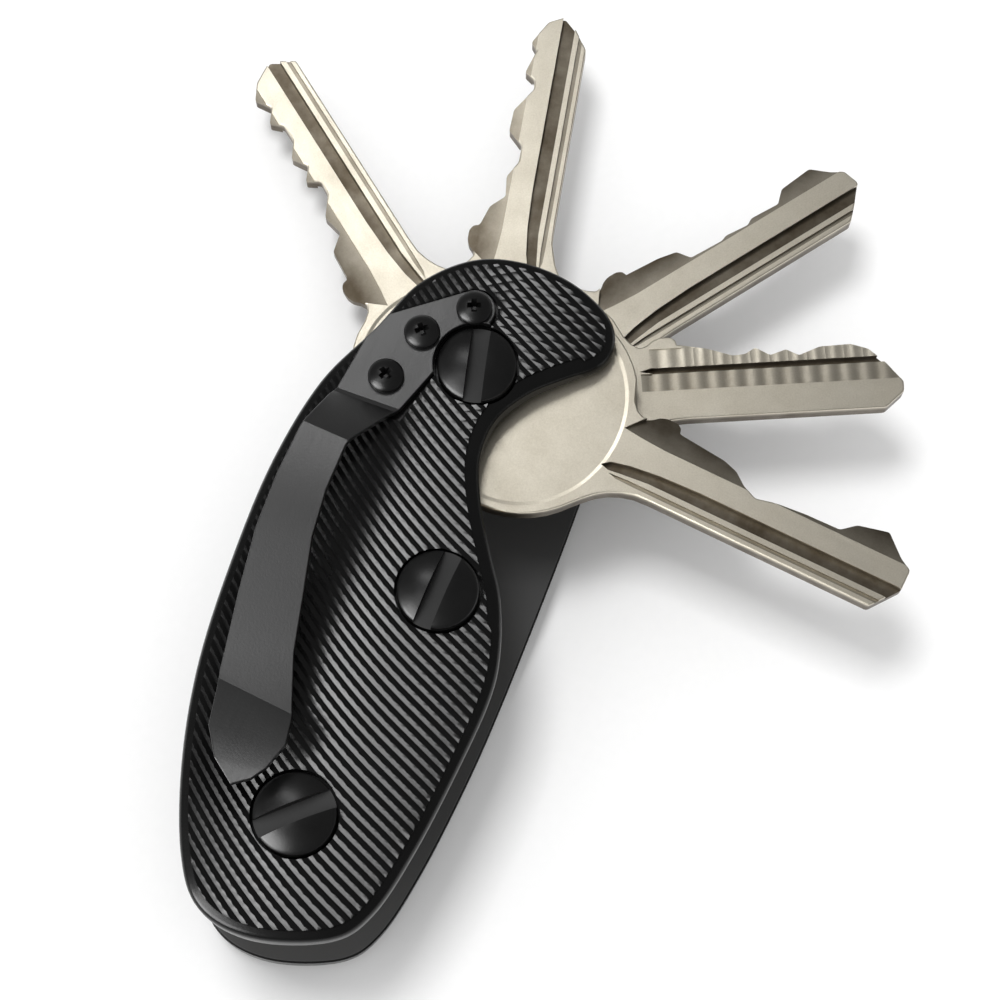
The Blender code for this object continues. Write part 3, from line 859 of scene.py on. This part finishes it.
# The arm from the foot to the tip: left x, left y, right x, right y, height of the underside.
ARM_STATIONS = (
    (-13.1, -7.9, -5.9, -7.9, 21.25),
    (-13.3, -8.4, -6.2, -8.4, 21.4),
    (-13.5, -9.0, -6.6, -9.0, 21.85),
    (-14.2, -13.2, -8.8, -13.6, 24.55),
    (-14.3, -13.8, -9.0, -14.2, 24.75),
    (-14.4, -14.5, -9.1, -14.9, 24.8),
    (-14.7, -20.0, -9.2, -20.0, 24.7),
    (-14.6, -26.2, -8.7, -25.2, 24.3),
    (-13.8, -33.0, -7.4, -31.0, 23.4),
    (-12.9, -39.0, -6.1, -37.0, 22.6),
    (-12.6, -41.4, -4.2, -42.3, 22.1),
    (-12.4, -42.1, -3.9, -43.0, 22.1),
    (-12.2, -42.8, -3.7, -43.7, 22.35),
    (-11.2, -47.2, -3.1, -46.4, 23.5),
    (-9.2, -50.2, -3.9, -49.4, 24.3),
    (-6.6, -52.2, -4.9, -51.0, 24.6),
)


def clip_steel():
    """Black oxide on a tumbled strip of spring steel: even satin with faint rolling lines."""
    made, position = new_finish("satin_black_oxide", IOR=1.75)
    stretched = position.node("Mapping", {}, {"Vector": position, "Scale": (2200.0, 90.0, 900.0)})
    lines = noise(stretched, 1.0, 3.0)
    grain = noise(position, 4200.0, 2.0)
    cloud = noise(position, 120.0, 4.0)
    drive(made, Base_Color=cloud.blend_of((0.005, 0.005, 0.005), (0.009, 0.009, 0.009)),
          Roughness=cloud * 0.08 + lines * 0.08 + 0.24, Normal=bump(grain + lines * 0.4, 0.000008))
    return made


bm = bmesh.new()
foot_verts = [bm.verts.new((*point, FOOT_BOTTOM)) for point in foot_outline()]
bm.faces.new(foot_verts)
edge = bm.edges.get((foot_verts[0], foot_verts[1]))
for left_x, left_y, right_x, right_y, height in ARM_STATIONS:
    raised = bmesh.ops.extrude_edge_only(bm, edges=[edge])["geom"]
    edge = next(item for item in raised if isinstance(item, bmesh.types.BMEdge))
    right, left = sorted(edge.verts, key=lambda vert: -vert.co.x)
    right.co = (right_x, right_y, height)
    left.co = (left_x, left_y, height)
bmesh.ops.recalc_face_normals(bm, faces=bm.faces)
drawn_out(bm, bm.faces[:], (0.0, 0.0, SHEET_THICKNESS))
clip = raw_object("pocket_clip", bm)
for centre in CLIP_SCREWS:
    carve(clip, punch(CLIP_HOLE_RADIUS, FOOT_BOTTOM - 1, FOOT_BOTTOM + 3, centre, 32))
softened = clip.modifiers.new("edges", "BEVEL")
softened.width = CLIP_EDGE_RADIUS * MM
softened.segments = 2
softened.limit_method = "ANGLE"
softened.angle_limit = math.radians(50)
settle(clip)
mount(clip, None, ["clip_foot", "clip_arm"], clip_steel(), 14.0)
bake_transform(clip)

# ---- Clip screws -------------------------------------------------------------------------
# Three small cross-recess pan-head screws, blackened, which hold the clip's foot to the front
# plate.

CLIP_HEAD_RADIUS = 1.95
CLIP_HEAD_HEIGHT = 1.1
CLIP_SHANK_RADIUS = 0.8
RECESS_DEPTH = 0.95
RECESS_LENGTH = 2.6
for number, centre in enumerate(CLIP_SCREWS, 1):
    low, high = (corner.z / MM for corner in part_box(f"clip_screw_{number}"))
    under = high - CLIP_HEAD_HEIGHT
    profile = [(0.0, low), (CLIP_SHANK_RADIUS, low + 0.3), (CLIP_SHANK_RADIUS, under),
               (CLIP_HEAD_RADIUS - 0.05, under), (CLIP_HEAD_RADIUS, under + 0.1),
               (CLIP_HEAD_RADIUS, under + 0.35)]
    profile += domed(CLIP_HEAD_RADIUS - 0.08, under + 0.5, high, 8)
    screw = raw_object(f"clip_pan_screw_{number}", spun(profile, centre, 48))
    for turn in (20 * number, 20 * number + 90):
        blade = bmesh.new()
        bmesh.ops.create_cube(blade, size=1.0)
        for vert in blade.verts:
            taper = 0.12 if vert.co.z < 0 else 1.0
            vert.co = (vert.co.x * RECESS_LENGTH * taper, vert.co.y * (0.35 + 0.4 * taper),
                       vert.co.z * 1.6)
        bmesh.ops.rotate(blade, matrix=Matrix.Rotation(math.radians(turn), 3, "Z"),
                         verts=blade.verts)
        bmesh.ops.translate(blade, vec=(*centre, high - RECESS_DEPTH + 0.8), verts=blade.verts)
        carve(screw, raw_object("driver", blade))
    mount(screw, "case", [f"clip_screw_{number}"], polished_black)
